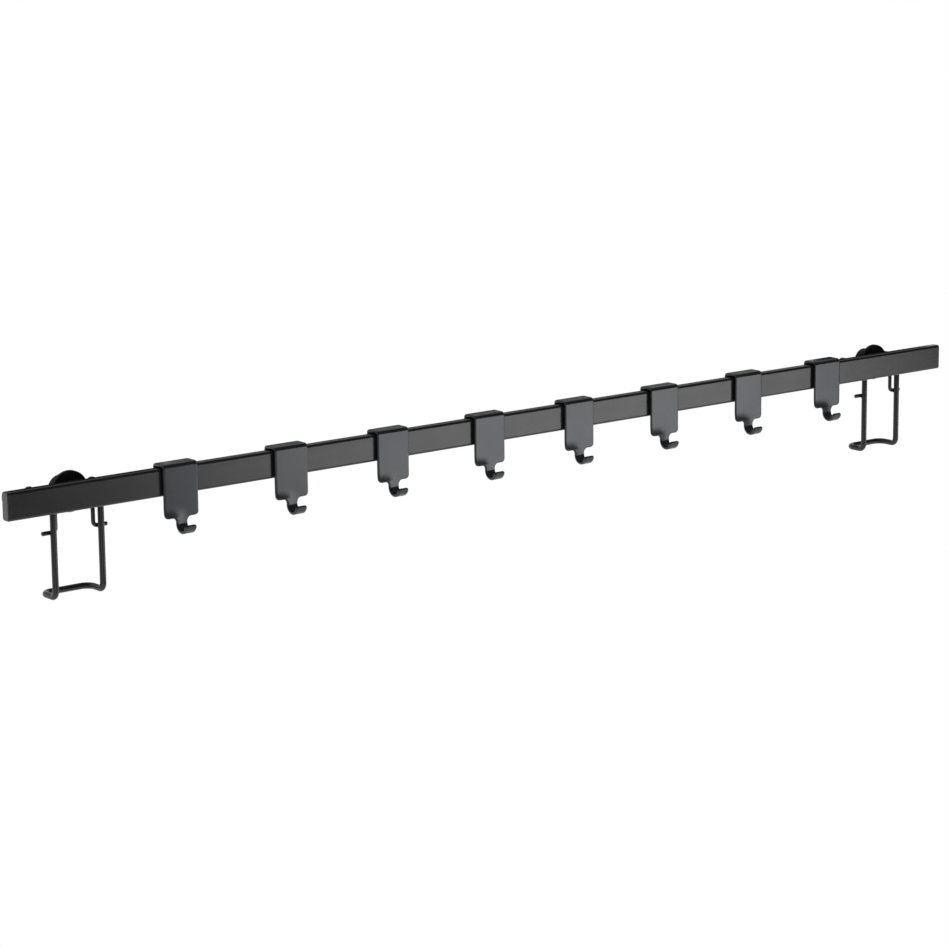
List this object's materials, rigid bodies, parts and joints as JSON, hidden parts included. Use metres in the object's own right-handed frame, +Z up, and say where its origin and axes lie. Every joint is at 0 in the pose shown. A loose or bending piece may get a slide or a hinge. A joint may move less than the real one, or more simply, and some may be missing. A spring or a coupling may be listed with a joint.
{
  "type": "kitchen utensil rail",
  "caption": "Wall-mounted kitchen utensil rail: a flat black tube with sliding folded hooks, held off the wall by bent-wire brackets on round buttons.",
  "frame": {"origin": "on the wall's surface, midway between the two wall plates, at the height of the rail's middle", "axes": "+X along the rail to the right as seen from the room, +Y into the wall, +Z up"},
  "size_m": [0.9, 0.0463, 0.0871],
  "materials": {
    "rail_black": "satin",
    "hook_black": "satin",
    "wire_black": "satin",
    "plate_black": "satin",
    "screw_black": "satin",
    "cap_black": "matte"
  },
  "bodies": {
    "rail_assembly": {"rail": "rail_black", "end_cap_left": "cap_black", "bracket_frame_left": "wire_black", "hanger_loop_left": "wire_black", "wall_plate_left": "plate_black", "hanger_button_left": "plate_black", "button_screw_left": "screw_black", "end_cap_right": "cap_black", "bracket_frame_right": "wire_black", "hanger_loop_right": "wire_black", "wall_plate_right": "plate_black", "hanger_button_right": "plate_black", "button_screw_right": "screw_black"},
    "hook_1_body": {"hook_1": "hook_black"},
    "hook_2_body": {"hook_2": "hook_black"},
    "hook_3_body": {"hook_3": "hook_black"},
    "hook_4_body": {"hook_4": "hook_black"},
    "hook_5_body": {"hook_5": "hook_black"},
    "hook_6_body": {"hook_6": "hook_black"},
    "hook_7_body": {"hook_7": "hook_black"},
    "hook_8_body": {"hook_8": "hook_black"}
  },
  "joints": [
    {"name": "hook_1_slide", "type": "slide", "parent": "rail_assembly", "child": "hook_1_body", "axis": [1, 0, 0], "range_m": [-0.028, 0.028]},
    {"name": "hook_2_slide", "type": "slide", "parent": "rail_assembly", "child": "hook_2_body", "axis": [1, 0, 0], "range_m": [-0.028, 0.028]},
    {"name": "hook_3_slide", "type": "slide", "parent": "rail_assembly", "child": "hook_3_body", "axis": [1, 0, 0], "range_m": [-0.028, 0.028]},
    {"name": "hook_4_slide", "type": "slide", "parent": "rail_assembly", "child": "hook_4_body", "axis": [1, 0, 0], "range_m": [-0.028, 0.028]},
    {"name": "hook_5_slide", "type": "slide", "parent": "rail_assembly", "child": "hook_5_body", "axis": [1, 0, 0], "range_m": [-0.028, 0.028]},
    {"name": "hook_6_slide", "type": "slide", "parent": "rail_assembly", "child": "hook_6_body", "axis": [1, 0, 0], "range_m": [-0.028, 0.028]},
    {"name": "hook_7_slide", "type": "slide", "parent": "rail_assembly", "child": "hook_7_body", "axis": [1, 0, 0], "range_m": [-0.028, 0.028]},
    {"name": "hook_8_slide", "type": "slide", "parent": "rail_assembly", "child": "hook_8_body", "axis": [1, 0, 0], "range_m": [-0.028, 0.028]}
  ]
}
